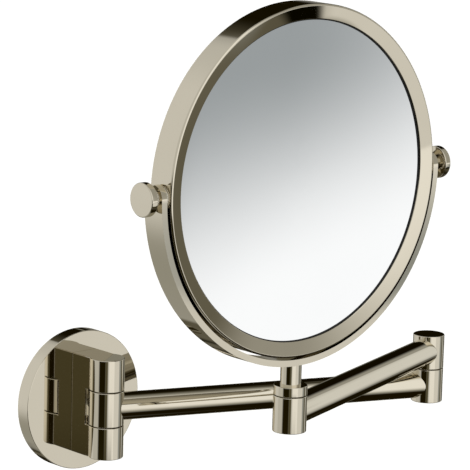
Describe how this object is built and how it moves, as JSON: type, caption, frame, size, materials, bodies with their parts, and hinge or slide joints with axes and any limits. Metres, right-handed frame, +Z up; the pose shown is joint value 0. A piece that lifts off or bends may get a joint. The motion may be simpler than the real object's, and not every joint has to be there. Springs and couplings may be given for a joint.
{
  "type": "extendable shaving mirror",
  "caption": "Round magnifying shaving mirror in a tilting yoke, on a double-jointed swinging arm that folds against a round wall flange.",
  "frame": {"origin": "centre of the wall flange's back face, on the wall", "axes": "+Z up, +Y into the wall, -Y out into the room, +X along the wall to the right"},
  "size_m": [0.2849, 0.1671, 0.2835],
  "materials": {
    "polished_nickel": "polished nickel plate on brass",
    "steel": "plain stainless steel",
    "nylon": "moulded",
    "black_rubber": "matt",
    "silvered_glass": "silvered float glass"
  },
  "bodies": {
    "wall_mount": {"mounting_plate": "steel", "wall_flange": "polished_nickel", "flange_set_screw": "steel", "block_screws": "steel", "hinge_block": "polished_nickel", "wall_hinge_pin": "steel", "wall_hinge_plug": "polished_nickel"},
    "rear_arm": {"wall_knuckle": "polished_nickel", "wall_hinge_bushes": "nylon", "arm_tube_1": "polished_nickel", "elbow_lower": "polished_nickel", "elbow_bushes": "nylon", "elbow_cap": "polished_nickel"},
    "front_arm": {"elbow_upper": "polished_nickel", "elbow_pin": "steel", "elbow_spring_washer": "steel", "elbow_screw": "steel", "arm_tube_2": "polished_nickel", "front_hinge": "polished_nickel", "front_hinge_bushes": "nylon", "front_hinge_cap": "polished_nickel"},
    "yoke_assembly": {"swivel_collar": "polished_nickel", "swivel_pin": "steel", "swivel_spring_washer": "steel", "swivel_screw": "steel", "stem": "polished_nickel", "yoke": "polished_nickel", "yoke_screw": "steel"},
    "mirror_head": {"mirror_frame": "polished_nickel", "glass_seal": "black_rubber", "mirror_glass": "silvered_glass", "clamping_ring": "nylon", "rear_cover": "polished_nickel", "pivot_bosses": "steel", "pivot_studs": "steel", "inner_washers": "nylon", "outer_washers": "nylon", "right_knob": "polished_nickel", "left_knob": "polished_nickel"}
  },
  "joints": [
    {"name": "wall_hinge", "type": "hinge", "parent": "wall_mount", "child": "rear_arm", "pos_m": [0, -0.02975, 0], "axis": [0, 0, 1], "range_deg": [-158, 17]},
    {"name": "elbow_hinge", "type": "hinge", "parent": "rear_arm", "child": "front_arm", "pos_m": [0.19018, -0.09784, 0.0102], "axis": [0, 0, 1], "continuous": true},
    {"name": "mirror_swivel", "type": "hinge", "parent": "front_arm", "child": "yoke_assembly", "pos_m": [0.0226, -0.15785, 0.0306], "axis": [0, 0, 1], "continuous": true},
    {"name": "mirror_tilt", "type": "hinge", "parent": "yoke_assembly", "child": "mirror_head", "pos_m": [0.0226, -0.15785, 0.148], "axis": [1, 0, 0], "continuous": true}
  ]
}
